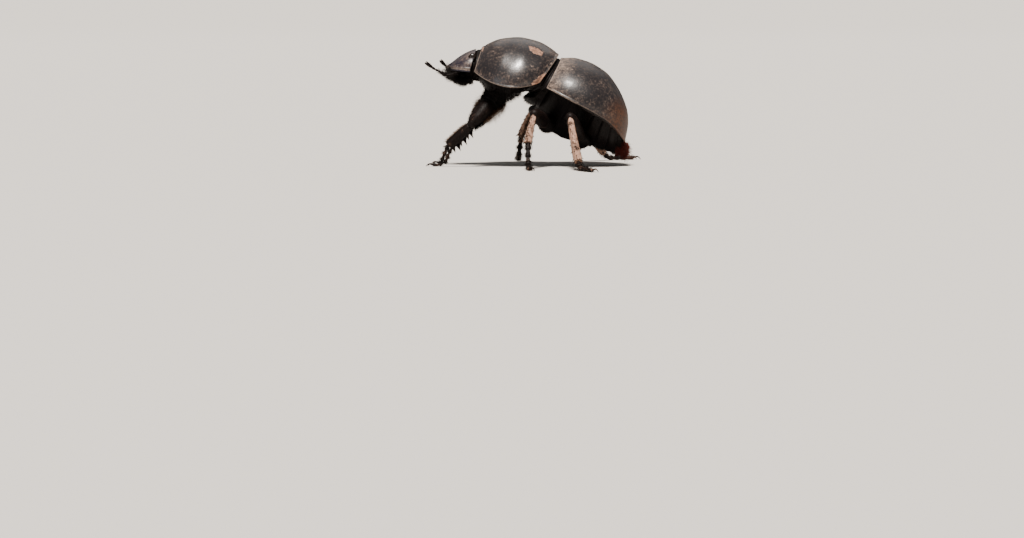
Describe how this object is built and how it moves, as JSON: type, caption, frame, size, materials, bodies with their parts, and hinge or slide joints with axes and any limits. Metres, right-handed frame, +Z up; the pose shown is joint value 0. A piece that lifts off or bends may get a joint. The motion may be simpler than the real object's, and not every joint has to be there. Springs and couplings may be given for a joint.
{
  "type": "dung beetle",
  "caption": "Life-size model of a flightless dung beetle standing on six legs, with a domed front shield, fused wing cases, a shovel-shaped head and toothed front legs.",
  "frame": {"origin": "on the floor, at the middle of the part's footprint", "axes": "-X is the way the beetle faces, -Y its left side, +Z up"},
  "size_m": [0.042, 0.0568, 0.0244],
  "materials": {
    "shell": "smooth black chitin with a soft sheen and a film of grey-brown dust",
    "underside": "black chitin, duller than the back",
    "leg": "black-brown chitin, dusty along the shanks",
    "feeler": "dark red-brown, finely hairy",
    "eye": "smooth and glossy black-brown"
  },
  "bodies": {
    "root": {"abdomen": "underside", "antenna_left": "feeler", "antenna_right": "feeler", "coxa_front_left": "underside", "coxa_front_right": "underside", "coxa_hind_left": "underside", "coxa_hind_right": "underside", "coxa_middle_left": "underside", "coxa_middle_right": "underside", "elytron_left": "shell", "elytron_right": "shell", "eye_left": "eye", "eye_right": "eye", "femur_front_left": "leg", "femur_front_right": "leg", "femur_hind_left": "leg", "femur_hind_right": "leg", "femur_middle_left": "leg", "femur_middle_right": "leg", "head": "shell", "mesothorax": "underside", "metasternum": "underside", "mouthparts": "underside", "palp_left": "feeler", "palp_right": "feeler", "pronotum": "shell", "prosternum": "underside", "pygidium": "underside", "tarsus_front_left": "leg", "tarsus_front_right": "leg", "tarsus_hind_left": "leg", "tarsus_hind_right": "leg", "tarsus_middle_left": "leg", "tarsus_middle_right": "leg", "tibia_front_left": "leg", "tibia_front_right": "leg", "tibia_hind_left": "leg", "tibia_hind_right": "leg", "tibia_middle_left": "leg", "tibia_middle_right": "leg"}
  },
  "joints": []
}
